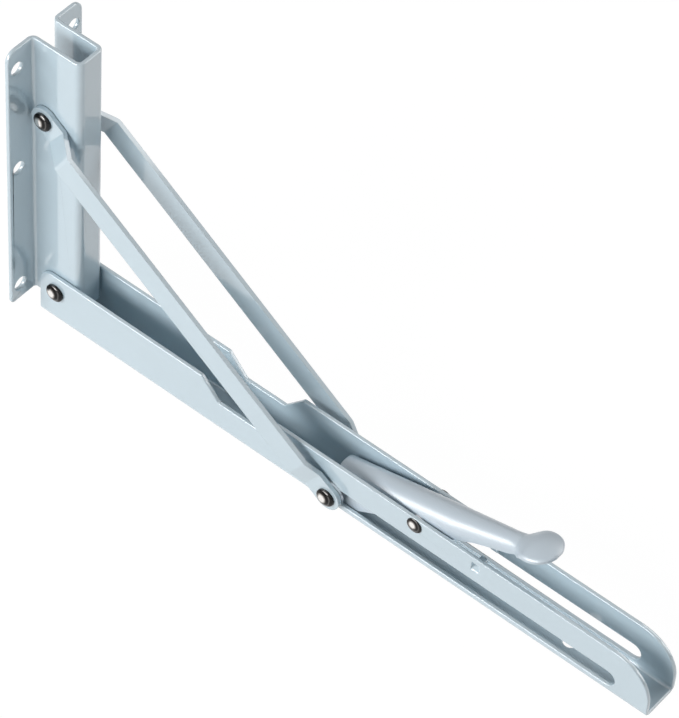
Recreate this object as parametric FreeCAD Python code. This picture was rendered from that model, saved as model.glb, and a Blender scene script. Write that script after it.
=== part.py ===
"""Folding shelf bracket: wall plate, swinging arm, two cranked struts and a release lever.

Millimetres. The bracket stands open, as it is sold: the arm lies along +X on its web,
with its channel open upwards, and the wall plate stands at its rear end.
X runs out from the wall (x = 0 is the wall), Y runs across, Z runs up (z = 0 is the shelf seat).
"left" is the +Y side and "right" is the -Y side. In use the bracket hangs the other way up.
"""
import FreeCAD, Part
import math
import os

from FreeCAD import Vector

# Pressed sheet
SHEET = 1.8
BEND_INSIDE = 1.2

# Running gaps
SIDE_GAP = 0.3
FACE_GAP = 0.1
BORE_GAP = 0.05
SLOT_GAP = 0.2

# Wall plate: a hat section with two flanges
PLATE_BOTTOM = 9.4
PLATE_HEIGHT = 134.4
HAT_WIDTH = 13.6
HAT_DEPTH = 24.7
FLANGE_WIDTH = 13.3
FLANGE_TOP_CORNER = 4.5
FLANGE_BOTTOM_CORNER = 1.5
WALL_SCREW_HOLE = 5.8
WALL_SCREW_OFFSET = 15.3
WALL_SCREW_BOTTOM = 8.0
WALL_SCREW_MIDDLE_LIFT = 5.1
WALL_SCREW_TOP_MARGIN = 10.0

# Support arm: a channel, open upwards
ARM_START = 6.0
ARM_END = 300.0
ARM_HEIGHT = 24.5
ARM_REAR_TOP_RADIUS = 6.0
ARM_REAR_BOTTOM_RADIUS = 2.5
ARM_NOSE_RADIUS = 17.0
SHELF_SCREW_HOLE = 6.0
SHELF_SCREW_REAR = 78.0
SHELF_SCREW_FRONT_MARGIN = 40.7

# Pivots, as places in X and Z
ARM_PIVOT_X = 14.2
ARM_PIVOT_Z = 16.3
STRUT_PIVOT_X = 8.5
STRUT_PIVOT_Z = 106.5
STRUT_FOOT_X = 152.6
STRUT_FOOT_Z = 8.1
LEVER_PIVOT_X = 191.4
LEVER_PIVOT_DROP = 3.7

# Slot for the slide pin, low in both side walls of the arm
SLOT_FRONT_MARGIN = 15.2

# Notch in the arm's side walls, which clears the strut eyes when the arm is folded
NOTCH_TOP_LENGTH = 36.6
NOTCH_BOTTOM_LENGTH = 19.4
NOTCH_FLOOR = 15.1
NOTCH_LEAD = 2.0
NOTCH_ROUND = 1.5

# Struts: flat bars, cranked outwards between their eyes
STRUT_WIDTH = 11.6
STRUT_EYE_RADIUS = 6.0
STRUT_SPREAD = 12.6
TOP_CRANK_START = 8.0
TOP_CRANK_LENGTH = 9.0
FOOT_CRANK_START = 8.5
FOOT_CRANK_LENGTH = 7.0

# Rivets and pins
PIVOT_SHANK = 6.0
RIVET_HEAD = 8.0
RIVET_HEAD_HEIGHT = 2.4
AXLE_SHANK = 4.0
AXLE_HEAD = 6.8
AXLE_HEAD_HEIGHT = 1.0
SPACER_WALL = 1.2

# Slide pin with its roller and washers
ROLLER = 7.0
SLIDE_CORE = 5.0
SLIDE_WASHER = 12.0
SLIDE_WASHER_THICKNESS = 1.1
FOOT_GAP = 0.1

# Release lever: a gutter, open downwards, that ends in a round thumb paddle
LEVER_SHEET = 1.5
LEVER_WIDTH = 13.0
LEVER_REAR = 151.5
LEVER_RISE = 14.0
LEVER_FRONT_RISE = 16.0
LEVER_RIDGE_LIFT = 8.0
LEVER_NECK_WIDTH = 9.0
LEVER_TAPER_START = 204.0
LEVER_NECK = 232.0
PADDLE_CENTRE = 240.8
PADDLE_RADIUS = 8.5
PADDLE_TILT = 17.5
PADDLE_DISH = 0.8
NECK_FLANGE = 0.7
STOP_FLANGE = 0.3
LEVER_EYE_MARGIN = 4.2
PIN_COVER_GAP = 0.3

# Stop tabs, lanced out of the arm's side walls below the lever's front
STOP_TAB_X = 219.8
STOP_TAB_WIDTH = 3.4
STOP_TAB_DROP = 0.5
STOP_TAB_FLAT = 2.5
STOP_TAB_REACH = 4.6
STOP_WINDOW_BELOW_TAB = 3.5
STOP_WINDOW_ABOVE_TAB = 1.3

# Lever spring: a torsion spring around the lever's axle
SPRING_WIRE = 0.9
SPRING_TURNS = 4
SPRING_SPACING = 1.0
SPRING_SIDE = -3.1
SPRING_CLEARANCE = 0.2
SPRING_LIFT_X = 206.0
SPRING_SEAT_GAP = 0.05

# Derived places
HAT_HALF = HAT_WIDTH / 2
ARM_INSIDE = HAT_HALF + SIDE_GAP
ARM_OUTSIDE = ARM_INSIDE + SHEET
PLATE_TOP = PLATE_BOTTOM + PLATE_HEIGHT
WALL_SCREW_MIDDLE = PLATE_HEIGHT / 2 + WALL_SCREW_MIDDLE_LIFT
WALL_SCREW_TOP = PLATE_HEIGHT - WALL_SCREW_TOP_MARGIN
BEND_MIDDLE = BEND_INSIDE + SHEET / 2
SLOT_HEIGHT = ROLLER + 2 * SLOT_GAP
SLOT_FRONT_END = ARM_END - SLOT_FRONT_MARGIN
SHELF_SCREW_FRONT = ARM_END - SHELF_SCREW_FRONT_MARGIN
LEVER_PIVOT_Z = ARM_HEIGHT - LEVER_PIVOT_DROP
LEVER_RIDGE_HEIGHT = LEVER_PIVOT_Z + LEVER_RIDGE_LIFT
STOP_TAB_TOP = LEVER_PIVOT_Z - STOP_TAB_DROP
STOP_WINDOW_BOTTOM = STOP_TAB_TOP - STOP_WINDOW_BELOW_TAB
STOP_WINDOW_TOP = STOP_TAB_TOP + STOP_WINDOW_ABOVE_TAB
FOOT_INSIDE = ARM_OUTSIDE + 2 * FACE_GAP + SLIDE_WASHER_THICKNESS
FOOT_OUTSIDE = FOOT_INSIDE + SHEET
STRUT_LENGTH = math.hypot(STRUT_FOOT_X - STRUT_PIVOT_X, STRUT_FOOT_Z - STRUT_PIVOT_Z)
STRUT_ANGLE = math.degrees(math.atan2(STRUT_FOOT_Z - STRUT_PIVOT_Z, STRUT_FOOT_X - STRUT_PIVOT_X))
LEVER_SLOPE = math.tan(math.radians(LEVER_RISE))
LEVER_FRONT_SLOPE = math.tan(math.radians(LEVER_FRONT_RISE))


def cylinder_y(radius, x, z, y_from, y_to):
    """A cylinder along Y between two places."""
    return Part.makeCylinder(radius, y_to - y_from, Vector(x, y_from, z), Vector(0, 1, 0))


def box(x_from, x_to, y_from, y_to, z_from, z_to):
    """A box between two corners."""
    return Part.makeBox(x_to - x_from, y_to - y_from, z_to - z_from, Vector(x_from, y_from, z_from))


def mirror_y(shape):
    """The same shape on the other side of the bracket."""
    return shape.mirror(Vector(0, 0, 0), Vector(0, 1, 0))


def bent_strip(points, thickness, middle_radius):
    """The closed edge view of a bent sheet: its middle line, with round bends, given a thickness."""
    sides = []
    for offset in (thickness / 2, -thickness / 2):
        sides.append(offset_path(points, offset, middle_radius))
    ahead, back = sides
    edges = list(ahead)
    edges.append(Part.makeLine(end_point(ahead[-1]), end_point(back[-1])))
    edges.extend(back)
    edges.append(Part.makeLine(start_point(ahead[0]), start_point(back[0])))
    return Part.Face(Part.Wire(Part.__sortEdges__(edges)))


def start_point(edge):
    return edge.valueAt(edge.FirstParameter)


def end_point(edge):
    return edge.valueAt(edge.LastParameter)


def offset_path(points, offset, middle_radius):
    """Edges of a path beside the middle line, with arcs at its bends. Points lie in the XY plane."""
    path = [Vector(x, y, 0) for x, y in points]
    edges = []
    here = path[0] + side_of(path[0], path[1]) * offset
    for before, corner, after in zip(path, path[1:], path[2:]):
        into = (corner - before).normalize()
        out = (after - corner).normalize()
        turn = math.atan2(into.cross(out).z, into.dot(out))
        tangent = middle_radius * math.tan(abs(turn) / 2)
        centre_side = math.copysign(1, turn)
        begin = corner - into * tangent
        finish = corner + out * tangent
        centre = begin + side_of(before, corner) * (middle_radius * centre_side)
        arc_start = begin + side_of(before, corner) * offset
        arc_end = finish + side_of(corner, after) * offset
        chord_middle = (arc_start + arc_end) * 0.5
        reach = (arc_start - centre).Length
        arc_middle = centre + (chord_middle - centre).normalize() * reach
        edges.append(Part.makeLine(here, arc_start))
        edges.append(Part.Arc(arc_start, arc_middle, arc_end).toShape())
        here = arc_end
    edges.append(Part.makeLine(here, path[-1] + side_of(path[-2], path[-1]) * offset))
    return edges


def side_of(start, finish):
    """The unit direction to the left of a line in the XY plane."""
    along = (finish - start).normalize()
    return Vector(-along.y, along.x, 0)


def wall_screw_holes():
    """Cutters for the three screw holes in each flange."""
    holes = []
    for side in (-1, 1):
        for height in (WALL_SCREW_BOTTOM, WALL_SCREW_MIDDLE, WALL_SCREW_TOP):
            place = Vector(-1, side * WALL_SCREW_OFFSET, PLATE_BOTTOM + height)
            holes.append(Part.makeCylinder(WALL_SCREW_HOLE / 2, SHEET + 2, place, Vector(1, 0, 0)))
    return holes


def flange_outline():
    """The front view of the plate, with rounded outer corners, as a slab through its depth."""
    half = HAT_HALF + FLANGE_WIDTH
    slab = box(-1, HAT_DEPTH + 1, -half, half, PLATE_BOTTOM, PLATE_TOP)
    for height, radius in ((PLATE_TOP, FLANGE_TOP_CORNER), (PLATE_BOTTOM, FLANGE_BOTTOM_CORNER)):
        corners = [edge for edge in slab.Edges if runs_deep_at(edge, height)]
        slab = slab.makeFillet(radius, corners)
    return slab


def runs_deep_at(edge, height):
    """Whether an edge runs through the slab's whole depth at this height."""
    span = edge.BoundBox
    return span.XLength > HAT_DEPTH and abs(span.ZMin - height) < 0.01 and span.ZLength < 0.01


def make_wall_plate():
    """Hat section: flange, side wall, front face, side wall, flange."""
    side = HAT_HALF - SHEET / 2
    front = HAT_DEPTH - SHEET / 2
    back = SHEET / 2
    edge = HAT_HALF + FLANGE_WIDTH
    middle_line = [(back, -edge), (back, -side), (front, -side), (front, side), (back, side), (back, edge)]
    section = bent_strip(middle_line, SHEET, BEND_MIDDLE)
    section.translate(Vector(0, 0, PLATE_BOTTOM))
    plate = section.extrude(Vector(0, 0, PLATE_HEIGHT))
    plate = plate.common(flange_outline())
    plate = plate.cut(wall_screw_holes())
    for x, z in ((ARM_PIVOT_X, ARM_PIVOT_Z), (STRUT_PIVOT_X, STRUT_PIVOT_Z)):
        plate = plate.cut(cylinder_y(PIVOT_SHANK / 2, x, z, -HAT_WIDTH, HAT_WIDTH))
    return plate


def notch_corners():
    """Side view of the notch: centred where the strut eyes come to lie, then lengthened forwards."""
    centre = ARM_PIVOT_X + (STRUT_PIVOT_Z - ARM_PIVOT_Z) + NOTCH_LEAD
    return [
        (centre - NOTCH_TOP_LENGTH / 2, ARM_HEIGHT),
        (centre - NOTCH_BOTTOM_LENGTH / 2, NOTCH_FLOOR),
        (centre + NOTCH_BOTTOM_LENGTH / 2, NOTCH_FLOOR),
        (centre + NOTCH_TOP_LENGTH / 2, ARM_HEIGHT),
    ]


def arm_side_view():
    """Outline of the arm seen from the side, as a slab through its width."""
    half = ARM_OUTSIDE + 1
    slab = box(ARM_START, ARM_END, -half, half, 0, ARM_HEIGHT)
    across = [edge for edge in slab.Edges if edge.BoundBox.YLength > half]
    rounds = {
        (ARM_START, ARM_HEIGHT): ARM_REAR_TOP_RADIUS,
        (ARM_START, 0): ARM_REAR_BOTTOM_RADIUS,
        (ARM_END, ARM_HEIGHT): ARM_NOSE_RADIUS,
    }
    for (x, z), radius in rounds.items():
        corner = [edge for edge in slab.Edges if runs_across_at(edge, x, z, half)]
        slab = slab.makeFillet(radius, corner)
    return slab.cut(notch_cutter(half))


def runs_across_at(edge, x, z, half):
    """Whether an edge runs right across the slab at this place in the side view."""
    span = edge.BoundBox
    here = abs(span.XMin - x) < 0.01 and abs(span.ZMin - z) < 0.01
    return here and span.YLength > half and span.XLength < 0.01 and span.ZLength < 0.01


def notch_cutter(half):
    """The trapezoid notch with rounded inner corners."""
    outline = notch_corners()
    rise = 2.0
    slope = (outline[1][0] - outline[0][0]) / (ARM_HEIGHT - NOTCH_FLOOR)
    first = (outline[0][0] - rise * slope, ARM_HEIGHT + rise)
    last = (outline[3][0] + rise * slope, ARM_HEIGHT + rise)
    points = [Vector(x, -half, z) for x, z in [first, outline[1], outline[2], last, first]]
    cutter = Part.Face(Part.makePolygon(points)).extrude(Vector(0, 2 * half, 0))
    floor_edges = [edge for edge in cutter.Edges if edge.BoundBox.ZMax < NOTCH_FLOOR + 0.01]
    inner = [edge for edge in floor_edges if edge.BoundBox.YLength > half]
    return cutter.makeFillet(NOTCH_ROUND, inner)


def slot_cutter(half):
    """The long slot for the slide pin, with round ends."""
    radius = SLOT_HEIGHT / 2
    rear = STRUT_FOOT_X
    front = SLOT_FRONT_END - radius
    middle = box(rear, front, -half, half, STRUT_FOOT_Z - radius, STRUT_FOOT_Z + radius)
    ends = [cylinder_y(radius, x, STRUT_FOOT_Z, -half, half) for x in (rear, front)]
    return middle.fuse(ends)


def stop_tab():
    """One lanced tab: a short strip bent inwards from the arm's right side wall, with a level end."""
    lance = 0.6
    start = STOP_TAB_X - STOP_TAB_WIDTH / 2
    inner = -ARM_INSIDE + STOP_TAB_REACH
    knee = inner - STOP_TAB_FLAT
    points = [
        Vector(start, -ARM_OUTSIDE, STOP_WINDOW_BOTTOM),
        Vector(start, -ARM_INSIDE, STOP_WINDOW_BOTTOM),
        Vector(start, knee, STOP_TAB_TOP - SHEET),
        Vector(start, inner, STOP_TAB_TOP - SHEET),
        Vector(start, inner, STOP_TAB_TOP),
        Vector(start, knee, STOP_TAB_TOP),
        Vector(start, -ARM_OUTSIDE, STOP_WINDOW_BOTTOM + lance),
        Vector(start, -ARM_OUTSIDE, STOP_WINDOW_BOTTOM),
    ]
    return Part.Face(Part.makePolygon(points)).extrude(Vector(STOP_TAB_WIDTH, 0, 0))


def stop_window():
    """The window that the tab is lanced from."""
    start = STOP_TAB_X - STOP_TAB_WIDTH / 2
    finish = STOP_TAB_X + STOP_TAB_WIDTH / 2
    return box(start, finish, -ARM_OUTSIDE - 1, -ARM_INSIDE + 1, STOP_WINDOW_BOTTOM, STOP_WINDOW_TOP)


def make_support_arm():
    """Channel with round nose, strut notches, slide slots, pivot holes and shelf screw holes."""
    side = ARM_OUTSIDE - SHEET / 2
    floor = SHEET / 2
    section = bent_strip([(-side, ARM_HEIGHT), (-side, floor), (side, floor), (side, ARM_HEIGHT)], SHEET, BEND_MIDDLE)
    section.rotate(Vector(0, 0, 0), Vector(1, 0, 0), 90)
    section.rotate(Vector(0, 0, 0), Vector(0, 0, 1), 90)
    section.translate(Vector(ARM_START, 0, 0))
    arm = section.extrude(Vector(ARM_END - ARM_START, 0, 0))
    half = ARM_OUTSIDE + 1
    arm = arm.common(arm_side_view())
    arm = arm.cut(slot_cutter(half))
    arm = arm.cut(cylinder_y(PIVOT_SHANK / 2 + BORE_GAP, ARM_PIVOT_X, ARM_PIVOT_Z, -half, half))
    arm = arm.cut(cylinder_y(AXLE_SHANK / 2, LEVER_PIVOT_X, LEVER_PIVOT_Z, -half, half))
    for x in (SHELF_SCREW_REAR, SHELF_SCREW_FRONT):
        arm = arm.cut(Part.makeCylinder(SHELF_SCREW_HOLE / 2, SHEET + 2, Vector(x, 0, -1)))
    for window, tab in ((stop_window(), stop_tab()), (mirror_y(stop_window()), mirror_y(stop_tab()))):
        arm = arm.cut(window).fuse(tab)
    return arm.removeSplitter()


def make_right_strut():
    """Flat bar along the strut line, cranked outwards between its top eye and its foot eye."""
    top = ARM_INSIDE + SHEET / 2
    spread = STRUT_SPREAD + SHEET / 2
    foot = FOOT_INSIDE + SHEET / 2
    foot_flat = STRUT_LENGTH - FOOT_CRANK_START
    middle_line = [
        (-STRUT_EYE_RADIUS - 1, top),
        (TOP_CRANK_START, top),
        (TOP_CRANK_START + TOP_CRANK_LENGTH, spread),
        (foot_flat - FOOT_CRANK_LENGTH, spread),
        (foot_flat, foot),
        (STRUT_LENGTH + STRUT_EYE_RADIUS + 1, foot),
    ]
    profile = bent_strip(middle_line, SHEET, BEND_MIDDLE)
    profile.translate(Vector(0, 0, -STRUT_WIDTH))
    bar = profile.extrude(Vector(0, 0, 2 * STRUT_WIDTH))
    bar.rotate(Vector(0, 0, 0), Vector(1, 0, 0), 180)
    bar = bar.common(strut_face_view())
    place_on_strut_line(bar)
    holes = [
        cylinder_y(PIVOT_SHANK / 2 + BORE_GAP, STRUT_PIVOT_X, STRUT_PIVOT_Z, -STRUT_SPREAD, 0),
        cylinder_y(SLIDE_CORE / 2, STRUT_FOOT_X, STRUT_FOOT_Z, -STRUT_SPREAD - SHEET, 0),
    ]
    return bar.cut(holes)


def strut_face_view():
    """The strut's outline seen from the side: a bar with an eye at each end, before it is placed."""
    reach = STRUT_SPREAD + 3 * SHEET
    half = STRUT_WIDTH / 2
    bar = box(0, STRUT_LENGTH, -reach, 0, -half, half)
    eyes = [cylinder_y(STRUT_EYE_RADIUS, x, 0, -reach, 0) for x in (0, STRUT_LENGTH)]
    return bar.fuse(eyes).removeSplitter()


def place_on_strut_line(shape):
    """Turns and moves a shape from the X axis onto the line between the strut's two pivots."""
    shape.rotate(Vector(0, 0, 0), Vector(0, 1, 0), -STRUT_ANGLE)
    shape.translate(Vector(STRUT_PIVOT_X, 0, STRUT_PIVOT_Z))


def rivet_head(diameter, height, x, z, y_face):
    """A domed head on the right side: a cap of a sphere above a short rim, with a rounded shoulder."""
    rim = height * 0.4
    crown = height - rim
    radius = ((diameter / 2) ** 2 + crown ** 2) / (2 * crown)
    base = cylinder_y(diameter / 2, x, z, y_face - height, y_face)
    centre = Vector(x, y_face - height + radius, z)
    head = base.common(Part.makeSphere(radius, centre))
    shoulder = [edge for edge in head.Edges if is_circle_at(edge, y_face - rim)]
    return head.makeFillet(height * 0.3, shoulder)


def is_circle_at(edge, y):
    """Whether an edge lies across Y at this place."""
    span = edge.BoundBox
    return abs(span.YMin - y) < 0.01 and abs(span.YMax - y) < 0.01


def headed_pin(shank, head, head_height, x, z, half_length):
    """A pin across the bracket with a domed head at each end."""
    right_head = rivet_head(head, head_height, x, z, -half_length)
    body = cylinder_y(shank / 2, x, z, -half_length, half_length)
    return body.fuse([right_head, mirror_y(right_head)]).removeSplitter()


def make_arm_pivot_pin():
    """The pin that the arm swings on, through the wall plate and both side walls of the arm."""
    reach = ARM_OUTSIDE + FACE_GAP
    return headed_pin(PIVOT_SHANK, RIVET_HEAD, RIVET_HEAD_HEIGHT, ARM_PIVOT_X, ARM_PIVOT_Z, reach)


def make_strut_pivot_pin():
    """The pin that both strut tops swing on."""
    reach = ARM_OUTSIDE + FACE_GAP
    return headed_pin(PIVOT_SHANK, RIVET_HEAD, RIVET_HEAD_HEIGHT, STRUT_PIVOT_X, STRUT_PIVOT_Z, reach)


def make_pivot_spacer(x, z):
    """Tube on a pivot pin that keeps the wall plate's side walls apart."""
    half = HAT_HALF - SHEET
    tube = cylinder_y(PIVOT_SHANK / 2 + SPACER_WALL, x, z, -half, half)
    return tube.cut(cylinder_y(PIVOT_SHANK / 2, x, z, -half, half))


def make_slide_pin():
    """The core of the sliding pin, which ends short of the strut feet."""
    reach = FOOT_INSIDE - FOOT_GAP
    return cylinder_y(SLIDE_CORE / 2, STRUT_FOOT_X, STRUT_FOOT_Z, -reach, reach)


def make_slide_roller():
    """The tube that rolls along both slots."""
    reach = ARM_OUTSIDE + FACE_GAP / 2
    tube = cylinder_y(ROLLER / 2, STRUT_FOOT_X, STRUT_FOOT_Z, -reach, reach)
    return tube.cut(cylinder_y(SLIDE_CORE / 2, STRUT_FOOT_X, STRUT_FOOT_Z, -reach, reach))


def make_right_slide_washer():
    """The washer between the arm's side wall and the strut foot."""
    inner = ARM_OUTSIDE + FACE_GAP
    outer = inner + SLIDE_WASHER_THICKNESS - FOOT_GAP
    washer = cylinder_y(SLIDE_WASHER / 2, STRUT_FOOT_X, STRUT_FOOT_Z, -outer, -inner)
    return washer.cut(cylinder_y(SLIDE_CORE / 2, STRUT_FOOT_X, STRUT_FOOT_Z, -outer, -inner))


def make_right_foot_rivet():
    """The headed end of the sliding pin, held in the strut foot."""
    head = rivet_head(RIVET_HEAD, RIVET_HEAD_HEIGHT, STRUT_FOOT_X, STRUT_FOOT_Z, -FOOT_OUTSIDE)
    shank = cylinder_y(SLIDE_CORE / 2, STRUT_FOOT_X, STRUT_FOOT_Z, -FOOT_OUTSIDE, -FOOT_INSIDE)
    return head.fuse(shank).removeSplitter()


def make_lever_axle():
    """The rivet that carries the release lever, through both side walls of the arm."""
    return headed_pin(AXLE_SHANK, AXLE_HEAD, AXLE_HEAD_HEIGHT, LEVER_PIVOT_X, LEVER_PIVOT_Z, ARM_OUTSIDE)


def make_lever_spacer():
    """Tube on the lever's axle that keeps the arm's side walls apart. The lever turns on it."""
    tube = cylinder_y(AXLE_SHANK / 2 + SPACER_WALL, LEVER_PIVOT_X, LEVER_PIVOT_Z, -ARM_INSIDE, ARM_INSIDE)
    return tube.cut(cylinder_y(AXLE_SHANK / 2, LEVER_PIVOT_X, LEVER_PIVOT_Z, -ARM_INSIDE, ARM_INSIDE))


def ridge_height(x):
    """Height of the lever's ridge above the arm's web underside: it rises faster ahead of the taper."""
    gutter = min(x, LEVER_TAPER_START) - LEVER_PIVOT_X
    taper = max(0.0, x - LEVER_TAPER_START)
    return LEVER_RIDGE_HEIGHT + gutter * LEVER_SLOPE + taper * LEVER_FRONT_SLOPE


def lever_section(x, half_width, sagitta, flange):
    """Closed cross-section of the lever at x: an arch of sheet with a flange below each side."""
    top = ridge_height(x)
    inner = half_width - LEVER_SHEET
    edge = top - sagitta
    inner_edge = top - LEVER_SHEET - sagitta * inner / half_width
    foot = edge - flange
    outer_arc = Part.Arc(Vector(x, -half_width, edge), Vector(x, 0, top), Vector(x, half_width, edge))
    inner_arc = Part.Arc(
        Vector(x, inner, inner_edge), Vector(x, 0, top - LEVER_SHEET), Vector(x, -inner, inner_edge)
    )
    edges = [
        Part.makeLine(Vector(x, -half_width, foot), Vector(x, -half_width, edge)),
        outer_arc.toShape(),
        Part.makeLine(Vector(x, half_width, edge), Vector(x, half_width, foot)),
        Part.makeLine(Vector(x, half_width, foot), Vector(x, inner, foot)),
        Part.makeLine(Vector(x, inner, foot), Vector(x, inner, inner_edge)),
        inner_arc.toShape(),
        Part.makeLine(Vector(x, -inner, inner_edge), Vector(x, -inner, foot)),
        Part.makeLine(Vector(x, -inner, foot), Vector(x, -half_width, foot)),
    ]
    return Part.Wire(edges)


def lever_side_view():
    """What the gutter keeps of its flanges, seen from the side: high over the pin, deep at the axle."""
    cover = STRUT_FOOT_Z + ROLLER / 2 + PIN_COVER_GAP
    eye_floor = LEVER_PIVOT_Z - LEVER_EYE_MARGIN - 1.0
    neck_floor = ridge_height(LEVER_NECK) - LEVER_NECK_WIDTH / 2 - NECK_FLANGE
    half = ARM_INSIDE + 4
    points = [
        (LEVER_REAR - 2, cover),
        (STRUT_FOOT_X + 22, cover),
        (LEVER_PIVOT_X - 8, eye_floor),
        (LEVER_PIVOT_X + 4, eye_floor),
        (LEVER_TAPER_START + 2, ridge_height(LEVER_TAPER_START) - LEVER_WIDTH / 2 - 2.5),
        (LEVER_TAPER_START + 12, ridge_height(LEVER_TAPER_START + 12) - LEVER_WIDTH / 2 - STOP_FLANGE),
        (LEVER_NECK, neck_floor),
        (LEVER_NECK, neck_floor + 30),
        (LEVER_REAR - 2, neck_floor + 30),
    ]
    closed = [Vector(x, -half, z) for x, z in points + points[:1]]
    return Part.Face(Part.makePolygon(closed)).extrude(Vector(0, 2 * half, 0))


def make_paddle():
    """The round thumb paddle at the end of the lever, slightly dished."""
    drop = PADDLE_DISH / 2
    centre = Vector(PADDLE_CENTRE, 0, ridge_height(PADDLE_CENTRE) - drop)
    radius = (PADDLE_RADIUS ** 2 + PADDLE_DISH ** 2) / (2 * PADDLE_DISH)
    side = math.sqrt(radius ** 2 - PADDLE_RADIUS ** 2)
    under = math.sqrt((radius + LEVER_SHEET) ** 2 - PADDLE_RADIUS ** 2)
    half_angle = math.asin(PADDLE_RADIUS / radius) / 2
    half_under = math.asin(PADDLE_RADIUS / (radius + LEVER_SHEET)) / 2
    bottom = Vector(0, 0, -LEVER_SHEET)
    middle = Vector(0, 0, 0)
    rim_top = Vector(PADDLE_RADIUS, 0, radius - side)
    rim_under = Vector(PADDLE_RADIUS, 0, radius - under)
    dish_mid = Vector(radius * math.sin(half_angle), 0, radius - radius * math.cos(half_angle))
    reach = radius + LEVER_SHEET
    under_mid = Vector(reach * math.sin(half_under), 0, radius - reach * math.cos(half_under))
    profile = Part.Wire([
        Part.makeLine(bottom, middle),
        Part.Arc(middle, dish_mid, rim_top).toShape(),
        Part.makeLine(rim_top, rim_under),
        Part.Arc(rim_under, under_mid, bottom).toShape(),
    ])
    dish = Part.Face(profile).revolve(Vector(0, 0, 0), Vector(0, 0, 1), 360)
    dish.rotate(Vector(0, 0, 0), Vector(0, 1, 0), -PADDLE_TILT)
    dish.translate(centre)
    return dish


def make_release_lever():
    """Gutter, neck and paddle in one pressing."""
    flange = 16.0
    half = LEVER_WIDTH / 2
    neck = LEVER_NECK_WIDTH / 2
    rear = Part.makeLoft([
        lever_section(LEVER_REAR, half, half, flange),
        lever_section(LEVER_TAPER_START, half, half, flange),
    ], True, True)
    front = Part.makeLoft([
        lever_section(LEVER_TAPER_START, half, half, flange),
        lever_section(LEVER_NECK, neck, neck, flange),
    ], True, True)
    gutter = rear.fuse(front).common(lever_side_view())
    flare = Part.makeLoft([
        lever_section(LEVER_NECK, neck, neck, NECK_FLANGE),
        lever_section(LEVER_NECK + 2.5, PADDLE_RADIUS * 0.71, neck * 0.55, NECK_FLANGE + 0.4),
        lever_section(LEVER_NECK + 5.0, PADDLE_RADIUS * 0.90, neck * 0.09, NECK_FLANGE + 0.8),
    ], True, True)
    lever = gutter.fuse([flare, make_paddle()]).removeSplitter()
    bore = AXLE_SHANK / 2 + SPACER_WALL + BORE_GAP
    return lever.cut(cylinder_y(bore, LEVER_PIVOT_X, LEVER_PIVOT_Z, -ARM_INSIDE, ARM_INSIDE))


def spring_radius():
    """Radius of the spring's coil at the middle of its wire."""
    return AXLE_SHANK / 2 + SPACER_WALL + SPRING_CLEARANCE + SPRING_WIRE / 2


def spring_tangent(x, z, side):
    """Where a straight leg from this place meets the coil: above it (side 1) or below it (side -1)."""
    away = math.hypot(x - LEVER_PIVOT_X, z - LEVER_PIVOT_Z)
    towards = math.atan2(z - LEVER_PIVOT_Z, x - LEVER_PIVOT_X)
    angle = towards + side * math.acos(spring_radius() / away)
    reach = spring_radius()
    return angle, LEVER_PIVOT_X + reach * math.cos(angle), LEVER_PIVOT_Z + reach * math.sin(angle)


def spring_leg(x, z, side, lane, overhang):
    """A straight leg from the coil over this place and a little further."""
    angle, start_x, start_z = spring_tangent(x, z, side)
    start = Vector(start_x, lane, start_z)
    contact = Vector(x, lane, z)
    finish = contact + (contact - start).normalize() * overhang
    along = finish - start
    return Part.makeCylinder(SPRING_WIRE / 2, along.Length, start, along)


def make_lever_spring():
    """Torsion spring on the spacer, with the leg that rests on a stop tab, worked out on the right side."""
    seat_x = STOP_TAB_X - STOP_TAB_WIDTH / 2
    seat_z = STOP_TAB_TOP + SPRING_WIRE / 2 + SPRING_SEAT_GAP
    angle, start_x, start_z = spring_tangent(seat_x, seat_z, -1)
    helix = Part.makeHelix(SPRING_SPACING, SPRING_SPACING * SPRING_TURNS, spring_radius())
    ring = Part.Wire(Part.makeCircle(SPRING_WIRE / 2, Vector(spring_radius(), 0, 0), Vector(0, 1, 0)))
    coil = Part.Wire(helix.Edges).makePipeShell([ring], True, True)
    coil.rotate(Vector(0, 0, 0), Vector(1, 0, 0), -90)
    coil.rotate(Vector(0, 0, 0), Vector(0, 1, 0), -math.degrees(angle))
    coil.translate(Vector(LEVER_PIVOT_X, SPRING_SIDE, LEVER_PIVOT_Z))
    return coil.fuse(spring_leg(seat_x, seat_z, -1, SPRING_SIDE, STOP_TAB_WIDTH * 0.7))


def make_spring_upper_leg():
    """The spring's other leg, which goes with the lever: its last bend, then a bar under the ridge."""
    lane = SPRING_SIDE + SPRING_SPACING * (SPRING_TURNS + 1)
    lift_z = ridge_height(SPRING_LIFT_X) - LEVER_SHEET - SPRING_WIRE - SPRING_SEAT_GAP
    angle, start_x, start_z = spring_tangent(SPRING_LIFT_X, lift_z, 1)
    centre = Vector(LEVER_PIVOT_X, lane, LEVER_PIVOT_Z)
    turn = Part.makeTorus(spring_radius(), SPRING_WIRE / 2, centre, Vector(0, -1, 0))
    rear_half = box(start_x - 20, start_x, lane - 2, lane + 2, LEVER_PIVOT_Z - 8, LEVER_PIVOT_Z + 8)
    return spring_leg(SPRING_LIFT_X, lift_z, 1, lane, SPRING_WIRE).fuse(turn.common(rear_half))


def export(name, shape):
    """Writes one sub-part, in place, under its own name."""
    shape.exportStep("parts/" + name + ".step")


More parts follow.
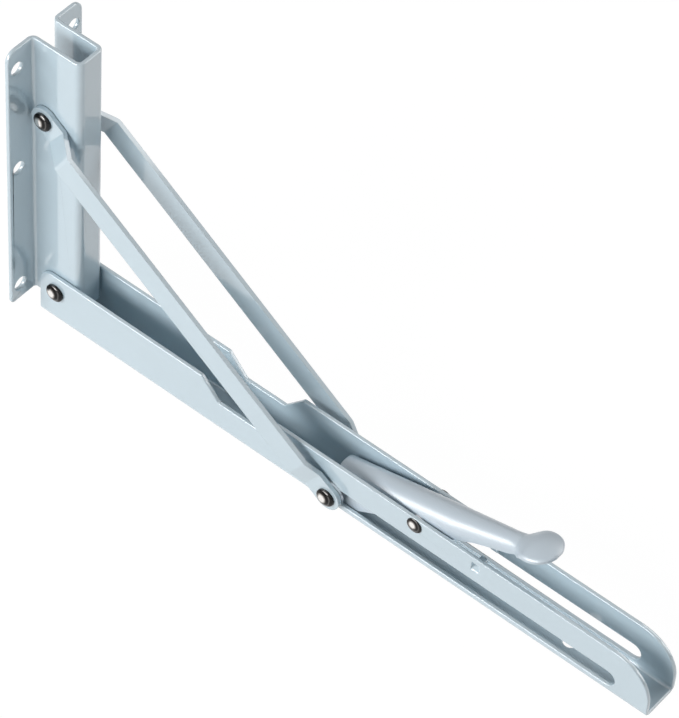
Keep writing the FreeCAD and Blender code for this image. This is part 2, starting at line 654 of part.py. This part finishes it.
def main():
    os.makedirs("parts", exist_ok=True)
    export("wall_plate", make_wall_plate())
    export("support_arm", make_support_arm())
    right_strut = make_right_strut()
    export("strut_right", right_strut)
    export("strut_left", mirror_y(right_strut))
    export("release_lever", make_release_lever())
    export("arm_pivot_pin", make_arm_pivot_pin())
    export("strut_pivot_pin", make_strut_pivot_pin())
    export("arm_pivot_spacer", make_pivot_spacer(ARM_PIVOT_X, ARM_PIVOT_Z))
    export("strut_pivot_spacer", make_pivot_spacer(STRUT_PIVOT_X, STRUT_PIVOT_Z))
    export("slide_pin", make_slide_pin())
    export("slide_roller", make_slide_roller())
    right_washer = make_right_slide_washer()
    export("slide_washer_right", right_washer)
    export("slide_washer_left", mirror_y(right_washer))
    right_rivet = make_right_foot_rivet()
    export("foot_rivet_right", right_rivet)
    export("foot_rivet_left", mirror_y(right_rivet))
    export("lever_axle", make_lever_axle())
    export("lever_spacer", make_lever_spacer())
    export("lever_spring", mirror_y(make_lever_spring()))
    export("lever_spring_leg", mirror_y(make_spring_upper_leg()))


main()
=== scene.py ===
"""Folding shelf bracket, dressed for a picture.

Laid out as an add-on: sizes and colours are properties, and each kind of piece has its own operator.
Places are in metres in the bracket's own frame, X out from the wall, Y across and Z up, except where a
comment says millimetres.
"""
import math

import bmesh
import bpy
from mathutils import Matrix, Vector


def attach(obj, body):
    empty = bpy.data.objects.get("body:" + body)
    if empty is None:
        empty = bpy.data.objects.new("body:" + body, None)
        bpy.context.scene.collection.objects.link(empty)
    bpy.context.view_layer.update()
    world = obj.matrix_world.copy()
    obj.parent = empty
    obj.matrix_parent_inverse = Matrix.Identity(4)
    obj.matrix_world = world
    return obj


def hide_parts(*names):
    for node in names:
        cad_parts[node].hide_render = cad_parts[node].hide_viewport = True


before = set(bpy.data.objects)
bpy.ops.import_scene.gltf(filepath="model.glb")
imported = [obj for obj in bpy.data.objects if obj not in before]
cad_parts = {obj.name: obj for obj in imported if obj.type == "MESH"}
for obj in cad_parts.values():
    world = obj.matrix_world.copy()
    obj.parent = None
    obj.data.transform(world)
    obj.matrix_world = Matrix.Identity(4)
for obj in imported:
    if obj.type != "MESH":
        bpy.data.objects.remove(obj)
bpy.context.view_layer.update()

bl_info = {
    "name": "Folding shelf bracket",
    "version": (1, 0, 0),
    "blender": (4, 5, 0),
    "location": "View3D > Sidebar > Bracket",
    "description": "Builds the painted finish, the release lever and the studio of a folding shelf bracket",
    "category": "Object",
}

MM = 0.001

SHEET_PARTS = ("wall_plate", "support_arm")
STRUTS = ("strut_right", "strut_left")
TURNED_PARTS = ("arm_pivot_spacer", "strut_pivot_spacer", "slide_pin", "slide_roller", "lever_spacer")
PLATED_PARTS = ("slide_washer_right", "slide_washer_left")
WIRE_PARTS = ("lever_spring", "lever_spring_leg")

# Axes in X and Z, and the radius of each rivet's head, in millimetres
ARM_PIVOT = (14.2, 16.3)
STRUT_PIVOT = (8.5, 106.5)
STRUT_FOOT = (152.6, 8.1)
LEVER_PIVOT = (191.4, 20.8)
RIVETS = (
    ("arm_pivot_pin", ARM_PIVOT, 4.0),
    ("strut_pivot_pin", STRUT_PIVOT, 4.0),
    ("foot_rivet_right", STRUT_FOOT, 4.0),
    ("foot_rivet_left", STRUT_FOOT, 4.0),
    ("lever_axle", LEVER_PIVOT, 3.4),
)

# How blurred the paint's reflections are: crisp on the sheet parts, soft on the lever
SHEET_HAZE = 0.06
LEVER_HAZE = 0.38


class BRACKET_PG_coat(bpy.types.PropertyGroup):
    """Colours and surface of the paint."""

    sheet_colour: bpy.props.FloatVectorProperty(
        name="Sheet colour", description="Paint on the plate, the arm and the struts",
        subtype="COLOR", size=3, min=0.0, max=1.0, default=(0.490, 0.605, 0.670))
    lever_colour: bpy.props.FloatVectorProperty(
        name="Lever colour", description="Paint on the release lever",
        subtype="COLOR", size=3, min=0.0, max=1.0, default=(0.500, 0.585, 0.655))
    grain_size: bpy.props.FloatProperty(
        name="Grain size", description="Distance between the ripples of the paint",
        subtype="DISTANCE", unit="LENGTH", default=0.0009)
    edge_round: bpy.props.FloatProperty(
        name="Edge rounding", description="Radius that the paint leaves on a cut edge of the sheet",
        subtype="DISTANCE", unit="LENGTH", default=0.00055)


class BRACKET_PG_lever(bpy.types.PropertyGroup):
    """Sizes of the release lever."""

    sheet: bpy.props.FloatProperty(
        name="Sheet", description="Thickness of the lever's sheet",
        subtype="DISTANCE", unit="LENGTH", default=0.0015)
    width: bpy.props.FloatProperty(
        name="Gutter width", description="Outside width of the gutter",
        subtype="DISTANCE", unit="LENGTH", default=0.0130)
    neck: bpy.props.FloatProperty(
        name="Neck width", description="Outside width where the gutter meets the paddle",
        subtype="DISTANCE", unit="LENGTH", default=0.0090)
    paddle: bpy.props.FloatProperty(
        name="Paddle radius", description="Radius of the round thumb paddle",
        subtype="DISTANCE", unit="LENGTH", default=0.0085)
    crown: bpy.props.FloatProperty(
        name="Crown", description="Height of the paddle's dome, apart from its rolled-down rim",
        subtype="DISTANCE", unit="LENGTH", default=0.0018)
    edge_round: bpy.props.FloatProperty(
        name="Edge rounding", description="Radius on the lever's cut edges",
        subtype="DISTANCE", unit="LENGTH", default=0.00025)


class BRACKET_PG_studio(bpy.types.PropertyGroup):
    """Light and camera."""

    key_power: bpy.props.FloatProperty(
        name="Key light", description="Power of the large lamp at the near side",
        subtype="POWER", unit="POWER", default=35.0)
    fill_power: bpy.props.FloatProperty(
        name="Fill light", description="Power of the lamp above the far side",
        subtype="POWER", unit="POWER", default=7.0)
    side_power: bpy.props.FloatProperty(
        name="Side light", description="Power of the lamp ahead of the arm's end",
        subtype="POWER", unit="POWER", default=9.0)
    world_light: bpy.props.FloatProperty(
        name="Room light", description="Brightness of the room around the bracket", default=0.08)
    lens: bpy.props.FloatProperty(
        name="Lens", description="Focal length for a sensor 36 mm high",
        subtype="DISTANCE_CAMERA", default=193.62)


class NodeTree:
    """Short hand for adding and joining nodes."""

    def __init__(self, tree):
        self.tree = tree

    def add(self, kind, **settings):
        node = self.tree.nodes.new(kind)
        for key, value in settings.items():
            setattr(node, key, value)
        return node

    def link(self, source, target):
        self.tree.links.new(source, target)

    def math(self, operation, *values):
        """Result of one sum, product or comparison. Each value is a number or another node's output."""
        node = self.add("ShaderNodeMath", operation=operation)
        for value, socket in zip(values, node.inputs):
            if isinstance(value, float):
                socket.default_value = value
            else:
                self.link(value, socket)
        return node.outputs[0]

    def light(self, kind, colour, strength):
        """Emission or background of an even colour. Its strength is a number or another node's output."""
        node = self.add(kind)
        node.inputs["Color"].default_value = (*colour, 1.0)
        if isinstance(strength, float):
            node.inputs["Strength"].default_value = strength
        else:
            self.link(strength, node.inputs["Strength"])
        return node.outputs[0]

    def mix(self, share, first, second):
        """The second shader, by its share, over the first."""
        node = self.add("ShaderNodeMixShader")
        for source, socket in zip((share, first, second), node.inputs):
            self.link(source, socket)
        return node.outputs[0]


class MaterialNodes(NodeTree):
    """Node tree of one new material."""

    def __init__(self, name):
        self.material = bpy.data.materials.new(name)
        self.material.use_nodes = True
        super().__init__(self.material.node_tree)
        self.shader = self.tree.nodes["Principled BSDF"]

    def place(self):
        """Places on the surface, in metres, the same at every pose."""
        return self.add("ShaderNodeTexCoord").outputs["Object"]

    def noise(self, scale, detail=2.0, roughness=0.5):
        node = self.add("ShaderNodeTexNoise")
        node.inputs["Scale"].default_value = scale
        node.inputs["Detail"].default_value = detail
        node.inputs["Roughness"].default_value = roughness
        self.link(self.place(), node.inputs["Vector"])
        return node.outputs["Fac"]

    def ramp(self, source, stops):
        node = self.add("ShaderNodeValToRGB")
        self.link(source, node.inputs["Fac"])
        elements = node.color_ramp.elements
        while len(elements) < len(stops):
            elements.new(0.5)
        for element, (position, colour) in zip(elements, stops):
            element.position = position
            element.color = (*colour, 1.0)
        return node.outputs["Color"]

    def vector(self, operation, source, values=None):
        """Difference, product or length of another node's output, with fixed values where it takes them."""
        node = self.add("ShaderNodeVectorMath", operation=operation)
        self.link(source, node.inputs[0])
        if values:
            node.inputs[1].default_value = values
        return node

    def bump(self, height, strength, distance):
        node = self.add("ShaderNodeBump")
        node.inputs["Strength"].default_value = strength
        node.inputs["Distance"].default_value = distance
        self.link(height, node.inputs["Height"])
        return node

    def set(self, **values):
        """Even values of the surface, with _ for a blank in a socket's name."""
        for key, value in values.items():
            self.shader.inputs[key.replace("_", " ")].default_value = value

    def wire(self, **sources):
        """Other nodes' outputs for the surface, with _ for a blank in a socket's name."""
        for key, source in sources.items():
            self.link(source, self.shader.inputs[key.replace("_", " ")])


def shade(colour, factor):
    return tuple(min(1.0, part * factor) for part in colour)


def grey(level):
    return (level, level, level)


def gloss_coat(name, colour, grain, haze, roll=0.0):
    """Powder coat: even colour with a faint cloud, and a clear hard skin with a fine orange peel.

    Where roll is given, the light falls on the cut edges as if they were rounded by this radius."""
    nodes = MaterialNodes(name)
    cloud = nodes.noise(60.0, 3.0)
    tint = nodes.ramp(cloud, [(0.3, shade(colour, 0.985)), (0.7, shade(colour, 1.015))])
    peel = nodes.bump(nodes.noise(1.0 / grain, 2.0, 0.4), 0.03, 0.00002)
    if roll:
        rolled = nodes.add("ShaderNodeBevel", samples=8)
        rolled.inputs["Radius"].default_value = roll
        nodes.link(rolled.outputs["Normal"], peel.inputs["Normal"])
    nodes.wire(Base_Color=tint, Normal=peel.outputs["Normal"])
    nodes.set(Roughness=0.45, Metallic=0.0, Coat_Weight=1.0, Coat_Roughness=haze, Coat_IOR=2.1)
    return nodes.material


def nickel_painted_glint(name, axis, radius):
    """Nickel plating with painted light on a rivet's crown: a painted highlight set back and up from the
    axis, and a painted dark reflection around the shoulder, wider below, with a thin painted glint in it.
    """
    # Shares of the head's radius: how far the painted highlight lies off the axis, back and up, and how
    # much its edge wanders
    highlight_back, highlight_up = 0.16, 0.12
    wander = 0.12
    nodes = MaterialNodes(name)
    x, z = axis
    centre = ((x - highlight_back * radius) * MM, 0.0, (z + highlight_up * radius) * MM)
    offset = nodes.vector("SUBTRACT", nodes.place(), centre)
    in_radii = (1.0 / (radius * MM), 0.0, 1.0 / (radius * MM))
    flat = nodes.vector("MULTIPLY", offset.outputs["Vector"], in_radii)
    away = nodes.vector("LENGTH", flat.outputs["Vector"])
    marks = nodes.noise(900.0, 4.0)
    spread = nodes.math("MULTIPLY_ADD", marks, wander, away.outputs["Value"])
    # Painted light, not the metal's own colour: a bright painted highlight, then a painted dark reflection
    # around the shoulder, with a thin painted glint ring inside it
    tint = nodes.ramp(spread, [
        (0.38, (0.90, 0.88, 0.85)), (0.52, (0.34, 0.32, 0.30)), (0.62, (0.030, 0.028, 0.026)),
        (0.84, grey(0.025)), (0.93, (0.16, 0.155, 0.15)), (1.0, grey(0.03))])
    rough = nodes.ramp(marks, [(0.3, grey(0.10)), (0.75, grey(0.18))])
    pits = nodes.bump(nodes.noise(2200.0, 2.0), 0.04, 0.00002)
    nodes.wire(Base_Color=tint, Roughness=rough, Normal=pits.outputs["Normal"])
    nodes.set(Metallic=1.0)
    return nodes.material


def turned_steel():
    """Lathe-turned steel: fine rings around the pins, which lie along Y."""
    nodes = MaterialNodes("turned_steel")
    rings = nodes.add("ShaderNodeTexWave", wave_type="BANDS", bands_direction="Y")
    rings.inputs["Scale"].default_value = 700.0
    rings.inputs["Distortion"].default_value = 1.5
    nodes.link(nodes.place(), rings.inputs["Vector"])
    tint = nodes.ramp(rings.outputs["Fac"], [(0.0, (0.46, 0.46, 0.47)), (1.0, (0.56, 0.56, 0.57))])
    grooves = nodes.bump(rings.outputs["Fac"], 0.1, 0.00003)
    nodes.wire(Base_Color=tint, Normal=grooves.outputs["Normal"])
    nodes.set(Metallic=1.0, Roughness=0.32)
    return nodes.material


def zinc_plate():
    """Dull bright zinc on the washers."""
    nodes = MaterialNodes("zinc_plate")
    cloud = nodes.noise(500.0, 4.0)
    tint = nodes.ramp(cloud, [(0.3, (0.60, 0.61, 0.62)), (0.7, (0.70, 0.71, 0.72))])
    spangle = nodes.bump(cloud, 0.06, 0.00003)
    nodes.wire(Base_Color=tint, Normal=spangle.outputs["Normal"])
    nodes.set(Metallic=1.0, Roughness=0.28)
    return nodes.material


def spring_wire():
    """Drawn wire with a faint oil stain."""
    nodes = MaterialNodes("spring_wire")
    stain = nodes.noise(700.0, 3.0)
    tint = nodes.ramp(stain, [(0.3, (0.34, 0.33, 0.32)), (0.7, (0.48, 0.47, 0.46))])
    nodes.wire(Base_Color=tint)
    nodes.set(Metallic=1.0, Roughness=0.35)
    return nodes.material


def white_floor():
    """Pale floor that the camera and reflections see as plain white with the bracket's soft shadow."""
    white_share = 0.92
    nodes = MaterialNodes("white_floor")
    tint = nodes.ramp(nodes.noise(8.0, 2.0), [(0.3, grey(0.64)), (0.7, grey(0.67))])
    nodes.wire(Base_Color=tint)
    nodes.set(Roughness=0.9, Specular_IOR_Level=0.0)
    glow = nodes.light("ShaderNodeEmission", (1.0, 1.0, 1.0), 1.06)
    path = nodes.add("ShaderNodeLightPath")
    seen = nodes.math("MAXIMUM", path.outputs["Is Camera Ray"], path.outputs["Is Glossy Ray"])
    share = nodes.math("MULTIPLY", seen, white_share)
    surface = nodes.mix(share, nodes.shader.outputs[0], glow)
    nodes.link(surface, nodes.tree.nodes["Material Output"].inputs["Surface"])
    return nodes.material


def cover(obj, material):
    """Gives every slot of an object this material."""
    if not obj.material_slots:
        obj.data.materials.append(material)
    for part in obj.material_slots:
        part.material = material


def bevel_edges(obj, width, segments):
    """Rounds each edge that is sharper than a bend's facets."""
    bevel = obj.modifiers.new("edge", "BEVEL")
    bevel.width = width
    bevel.segments = segments
    bevel.limit_method = "ANGLE"
    bevel.angle_limit = math.radians(35.0)
    return bevel


def round_edges(obj, width):
    """Rounds the cut edges of a solid: its flat faces are joined, then each sharp edge is rolled off."""
    weld = obj.modifiers.new("weld", "WELD")
    weld.merge_threshold = 0.000001
    flat = obj.modifiers.new("flat", "DECIMATE")
    flat.decimate_type = "DISSOLVE"
    flat.angle_limit = math.radians(0.3)
    bevel = bevel_edges(obj, width, 4)
    bevel.use_clamp_overlap = False
    bevel.harden_normals = True


def smooth_by_angle(mesh, degrees):
    """Smooth shading with sharp edges kept above an angle."""
    for polygon in mesh.polygons:
        polygon.use_smooth = True
    mesh.set_sharp_from_angle(angle=math.radians(degrees))


class BRACKET_OT_sheet_parts(bpy.types.Operator):
    """Coats the wall plate, the arm and the struts, and rounds their cut edges"""

    bl_idname = "bracket.sheet_parts"
    bl_label = "Coat the sheet parts"

    def execute(self, context):
        coat = context.scene.bracket_coat
        colour, grain, edge = coat.sheet_colour, coat.grain_size, coat.edge_round
        paint = gloss_coat("sheet_coat", colour, grain, SHEET_HAZE)
        for name in SHEET_PARTS:
            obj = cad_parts[name]
            cover(obj, paint)
            round_edges(obj, edge)
        strut_paint = gloss_coat("strut_coat", colour, grain, SHEET_HAZE, edge)
        for name in STRUTS:
            cover(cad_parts[name], strut_paint)
        return {"FINISHED"}


class BRACKET_OT_metal_parts(bpy.types.Operator):
    """Finishes the rivets, the slide pin with its roller and washers, and the spring"""

    bl_idname = "bracket.metal_parts"
    bl_label = "Finish the metal parts"

    def execute(self, context):
        for name, axis, radius in RIVETS:
            # Each rivet's material paints a highlight and a dark reflection around that rivet's own axis
            cover(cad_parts[name], nickel_painted_glint(name + "_nickel", axis, radius))
        groups = ((TURNED_PARTS, turned_steel()), (PLATED_PARTS, zinc_plate()), (WIRE_PARTS, spring_wire()))
        for names, material in groups:
            for name in names:
                cover(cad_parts[name], material)
        return {"FINISHED"}


# Side view of the lever, in millimetres: places along the bracket with the height of its lower edge there.
# The first step down is the rear edge of the hook teeth.
TOOTH_REAR = (156.2, 156.5)
LEVER_FOOT = (
    (151.5, 11.9), (TOOTH_REAR[0], 11.9), (TOOTH_REAR[1], 3.4), (163.0, 3.4), (171.5, 8.6), (176.0, 12.4),
    (183.0, 15.2), (195.5, 15.2), (206.0, 22.6), (216.0, 28.0), (224.0, 31.1), (232.0, 33.7),
)
LEVER_REAR = LEVER_FOOT[0][0]
RIDGE_AT_PIVOT = 28.8
GUTTER_SLOPE = math.tan(math.radians(14.0))
FRONT_SLOPE = math.tan(math.radians(16.0))
TAPER_START = 204.0
NECK = 232.0
NECK_BLEND = 1.6

# The paddle, in millimetres: between its first two places the arch flattens out into the paddle
PADDLE_START, PADDLE_FULL = 228.0, 238.5
PADDLE_CENTRE = 240.8
PADDLE_LIP = 1.25
LIP_START = 226.0
# Share of the crown that stands above the ridge line
CROWN_ABOVE = 0.95
# Between this share of the radius and the rim the paddle rolls down by this much, ever faster
RIM_START = 0.88
RIM_DROP = 0.55
RIM_CURVE = 2.2

# Cross-sections: their places in millimetres, and the steps around one
GUTTER_STEP = 1.5
PADDLE_STEP = 0.5
TIP_START = 246.0
TIP_FROM_DEGREES, TIP_TO_DEGREES, TIP_STEPS = 38.0, 78.5, 14
LEAST_STEP = 0.12
ARCH_STEPS = 28
WALL_STEPS = 5


def along(points, x):
    """Straight-line value between the given places."""
    if x <= points[0][0]:
        return points[0][1]
    for (x0, z0), (x1, z1) in zip(points, points[1:]):
        if x <= x1:
            return z0 + (z1 - z0) * (x - x0) / (x1 - x0)
    return points[-1][1]


def ease(x, start, end):
    """0 before start, 1 after end, and smooth between."""
    t = min(1.0, max(0.0, (x - start) / (end - start)))
    return t * t * (3 - 2 * t)


def ridge(x):
    """Height of the ridge, which rises faster ahead of the gutter."""
    gutter = min(x, TAPER_START) - LEVER_PIVOT[0]
    taper = max(0.0, x - TAPER_START)
    return RIDGE_AT_PIVOT + gutter * GUTTER_SLOPE + taper * FRONT_SLOPE


def lever_half_width(x, lever):
    """Half the lever's width at x: gutter, tapering neck, then the round paddle."""
    half, neck, paddle = lever.width / MM / 2, lever.neck / MM / 2, lever.paddle / MM
    gutter = half + (neck - half) * min(1.0, max(0.0, (x - TAPER_START) / (NECK - TAPER_START)))
    off = x - PADDLE_CENTRE
    round_part = math.sqrt(max(0.0, paddle * paddle - off * off))
    if x > PADDLE_CENTRE:
        return round_part
    gap = abs(gutter - round_part)
    return max(gutter, round_part) + max(0.0, NECK_BLEND - gap) ** 2 / (4 * NECK_BLEND)


def paddle_height(off, top, crown):
    """Height of the domed paddle, at a place given in radii from its centre, with its rim rolled down."""
    off = min(1.0, off)
    roll = max(0.0, (off - RIM_START) / (1.0 - RIM_START)) ** RIM_CURVE
    return top + crown * (CROWN_ABOVE - off ** 2) - RIM_DROP * roll


def lever_section(x, lever):
    """Outer line of the lever's cross-section at x, from the right foot over the ridge to the left one."""
    half = lever_half_width(x, lever)
    top = ridge(x)
    paddle_share = ease(x, PADDLE_START, PADDLE_FULL)
    arch = []
    for step in range(ARCH_STEPS + 1):
        turn = math.pi * step / ARCH_STEPS
        y = -half * math.cos(turn)
        round_top = top - half * (1 - math.sin(turn))
        off = math.hypot(x - PADDLE_CENTRE, y) / (lever.paddle / MM)
        dome = paddle_height(off, top, lever.crown / MM)
        arch.append((y, round_top * (1 - paddle_share) + dome * paddle_share))
    rim = arch[0][1]
    foot = along(LEVER_FOOT, x)
    if x > LIP_START:
        foot = foot * (1 - paddle_share) + (rim - PADDLE_LIP) * paddle_share
    wall = [foot + (rim - foot) * step / WALL_STEPS for step in range(WALL_STEPS)]
    right = [(-half, z) for z in wall]
    left = [(half, z) for z in reversed(wall)]
    return right + arch + left


def evenly(start, end, step):
    """Places from start, a step apart, up to before the end."""
    return [start + step * i for i in range(math.ceil((end - start) / step))]


def lever_stations(lever):
    """Places along the lever where its cross-section is worked out."""
    places = [x for x, z in LEVER_FOOT]
    gutter = evenly(LEVER_REAR, PADDLE_START, GUTTER_STEP)
    places += gutter
    places += evenly(gutter[-1] + GUTTER_STEP, TIP_START, PADDLE_STEP)
    for step in range(1, TIP_STEPS + 1):
        turn = TIP_FROM_DEGREES + (TIP_TO_DEGREES - TIP_FROM_DEGREES) * step / TIP_STEPS
        places.append(PADDLE_CENTRE + lever.paddle / MM * math.sin(math.radians(turn)))
    ordered = sorted(set(round(x, 3) for x in places))
    kept = [ordered[0]]
    for x in ordered[1:]:
        if x - kept[-1] > LEAST_STEP or x in TOOTH_REAR:
            kept.append(x)
    return kept


def build_lever(lever):
    """Sheet of the lever: a grid of cross-sections, closed at the paddle's tip, later thickened inwards."""
    mesh = bpy.data.meshes.new("release_lever_sheet")
    bm = bmesh.new()
    rows = []
    for x in lever_stations(lever):
        rows.append([bm.verts.new((x * MM, y * MM, z * MM)) for y, z in lever_section(x, lever)])
    for row, following in zip(rows, rows[1:]):
        for a, b, c, d in zip(row, row[1:], following[1:], following):
            bm.faces.new((a, d, c, b))
    bm.faces.new(list(reversed(rows[-1])))
    bm.normal_update()
    bm.to_mesh(mesh)
    bm.free()
    return mesh


def apply_modifiers(obj):
    """Works an object's modifiers into its mesh."""
    depsgraph = bpy.context.evaluated_depsgraph_get()
    depsgraph.update()
    mesh = bpy.data.meshes.new_from_object(obj.evaluated_get(depsgraph))
    obj.modifiers.clear()
    obj.data = mesh


class BRACKET_OT_release_lever(bpy.types.Operator):
    """Builds the release lever: gutter with hook teeth, neck and domed thumb paddle"""

    bl_idname = "bracket.release_lever"
    bl_label = "Build the release lever"

    def execute(self, context):
        coat, lever = context.scene.bracket_coat, context.scene.bracket_lever
        obj = bpy.data.objects.new("release_lever_sheet", build_lever(lever))
        context.collection.objects.link(obj)
        thick = obj.modifiers.new("sheet", "SOLIDIFY")
        thick.thickness = lever.sheet
        thick.offset = -1.0
        thick.use_even_offset = False
        faces_of_open_sheet = len(obj.data.polygons)
        apply_modifiers(obj)
        if len(obj.data.polygons) < 2 * faces_of_open_sheet:
            raise RuntimeError("the lever's sheet has no thickness")
        smooth_by_angle(obj.data, 40.0)
        cover(obj, gloss_coat("lever_coat", coat.lever_colour, coat.grain_size, LEVER_HAZE))
        bevel_edges(obj, lever.edge_round, 2)
        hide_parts("release_lever")
        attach(obj, "lever")
        return {"FINISHED"}


FLOOR_HALF = 6.0
# The floor lies just below the bracket's web, so that the two don't share a plane
FLOOR_LEVEL = -0.0004

# Each lamp with its place, its width and height, and the property that holds its power
LAMPS = (
    ("key_lamp", (-0.40, -1.57, 0.74), (1.9, 0.8), "key_power"),
    ("fill_lamp", (0.45, 1.25, 1.25), (1.2, 1.0), "fill_power"),
    ("side_lamp", (1.35, 1.20, 0.62), (1.2, 1.0), "side_power"),
)
LAMP_AIM = (0.14, 0.0, 0.05)

# Directions by their rise: what reflections see of the room is dark at the foot of its walls, then white
WALL_FOOT, WALL_TOP = 0.10, 0.45
WALL_FOOT_LIGHT = 0.35

CAMERA_PLACE = (0.684721, -0.743476, 1.130169)
CAMERA_TURNS = ((35.97256, "Z"), (40.92903, "X"), (4.55123, "Z"))


def floor_plate():
    mesh = bpy.data.meshes.new("floor")
    sides = ((-1, -1), (1, -1), (1, 1), (-1, 1))
    corners = [(FLOOR_HALF * x, FLOOR_HALF * y, FLOOR_LEVEL) for x, y in sides]
    mesh.from_pydata(corners, [], [(0, 1, 2, 3)])
    floor = bpy.data.objects.new("floor", mesh)
    bpy.context.collection.objects.link(floor)
    return floor


def area_lamp(name, place, size, power):
    lamp = bpy.data.lights.new(name, "AREA")
    lamp.shape = "RECTANGLE"
    lamp.size, lamp.size_y = size
    lamp.energy = power
    obj = bpy.data.objects.new(name, lamp)
    obj.location = place
    direction = Vector(LAMP_AIM) - Vector(place)
    obj.rotation_euler = direction.to_track_quat("-Z", "Y").to_euler()
    bpy.context.collection.objects.link(obj)


def room_light(strength):
    """World that lights softly. The camera sees it as white, and reflections as white above dark walls."""
    world = bpy.data.worlds.new("studio_room")
    world.use_nodes = True
    bpy.context.scene.world = world
    nodes = NodeTree(world.node_tree)
    nodes.tree.nodes.clear()
    output = nodes.add("ShaderNodeOutputWorld")
    path = nodes.add("ShaderNodeLightPath").outputs
    seen_or_mirrored = nodes.math("MAXIMUM", path["Is Camera Ray"], path["Is Glossy Ray"])
    seen = nodes.math("MAXIMUM", seen_or_mirrored, path["Is Transmission Ray"])
    room = nodes.light("ShaderNodeBackground", (0.95, 0.98, 1.0), strength)
    heading = nodes.add("ShaderNodeTexCoord")
    rise = nodes.add("ShaderNodeSeparateXYZ")
    nodes.link(heading.outputs["Generated"], rise.inputs[0])
    walls = nodes.add("ShaderNodeMapRange", interpolation_type="SMOOTHSTEP")
    nodes.link(rise.outputs["Z"], walls.inputs["Value"])
    walls.inputs["From Min"].default_value = WALL_FOOT
    walls.inputs["From Max"].default_value = WALL_TOP
    walls.inputs["To Min"].default_value = WALL_FOOT_LIGHT
    walls.inputs["To Max"].default_value = 1.0
    white = nodes.math("MAXIMUM", path["Is Camera Ray"], walls.outputs["Result"])
    backdrop = nodes.light("ShaderNodeBackground", (1.0, 1.0, 1.0), white)
    nodes.link(nodes.mix(seen, room, backdrop), output.inputs["Surface"])


def place_camera(lens):
    """Camera at the picture's viewing angle, for a frame of 679 by 718."""
    data = bpy.data.cameras.new("picture_camera")
    data.sensor_fit = "VERTICAL"
    data.sensor_height = 36.0
    data.lens = lens
    data.clip_start = 0.05
    data.clip_end = 50.0
    obj = bpy.data.objects.new("picture_camera", data)
    matrix = Matrix.Translation(CAMERA_PLACE)
    for degrees, axis in CAMERA_TURNS:
        matrix = matrix @ Matrix.Rotation(math.radians(degrees), 4, axis)
    obj.matrix_world = matrix
    bpy.context.collection.objects.link(obj)
    bpy.context.scene.camera = obj


class BRACKET_OT_studio(bpy.types.Operator):
    """Sets up the floor, the room light, the lamps and the camera"""

    bl_idname = "bracket.studio"
    bl_label = "Set up the studio"

    def execute(self, context):
        studio = context.scene.bracket_studio
        context.scene.view_settings.view_transform = "Standard"
        floor = floor_plate()
        cover(floor, white_floor())
        room_light(studio.world_light)
        for name, place, size, power in LAMPS:
            area_lamp(name, place, size, getattr(studio, power))
        place_camera(studio.lens)
        return {"FINISHED"}


class BRACKET_PT_panel(bpy.types.Panel):
    """Sizes, colours and light of the bracket, and the steps that build it"""

    bl_idname = "BRACKET_PT_panel"
    bl_label = "Folding shelf bracket"
    bl_space_type = "VIEW_3D"
    bl_region_type = "UI"
    bl_category = "Bracket"

    def draw(self, context):
        scene = context.scene
        for group in (scene.bracket_coat, scene.bracket_lever, scene.bracket_studio):
            box = self.layout.box()
            for key in group.__annotations__:
                box.prop(group, key)
        for operator in OPERATORS:
            self.layout.operator(operator.bl_idname)


GROUPS = (BRACKET_PG_coat, BRACKET_PG_lever, BRACKET_PG_studio)
OPERATORS = (BRACKET_OT_sheet_parts, BRACKET_OT_metal_parts, BRACKET_OT_release_lever, BRACKET_OT_studio)
CLASSES = GROUPS + OPERATORS + (BRACKET_PT_panel,)


def register():
    for cls in CLASSES:
        bpy.utils.register_class(cls)
    bpy.types.Scene.bracket_coat = bpy.props.PointerProperty(type=BRACKET_PG_coat)
    bpy.types.Scene.bracket_lever = bpy.props.PointerProperty(type=BRACKET_PG_lever)
    bpy.types.Scene.bracket_studio = bpy.props.PointerProperty(type=BRACKET_PG_studio)


def unregister():
    del bpy.types.Scene.bracket_studio
    del bpy.types.Scene.bracket_lever
    del bpy.types.Scene.bracket_coat
    for cls in reversed(CLASSES):
        bpy.utils.unregister_class(cls)


def main():
    register()
    bpy.ops.bracket.sheet_parts()
    bpy.ops.bracket.metal_parts()
    bpy.ops.bracket.release_lever()
    bpy.ops.bracket.studio()


if __name__ == "__main__":
    main()
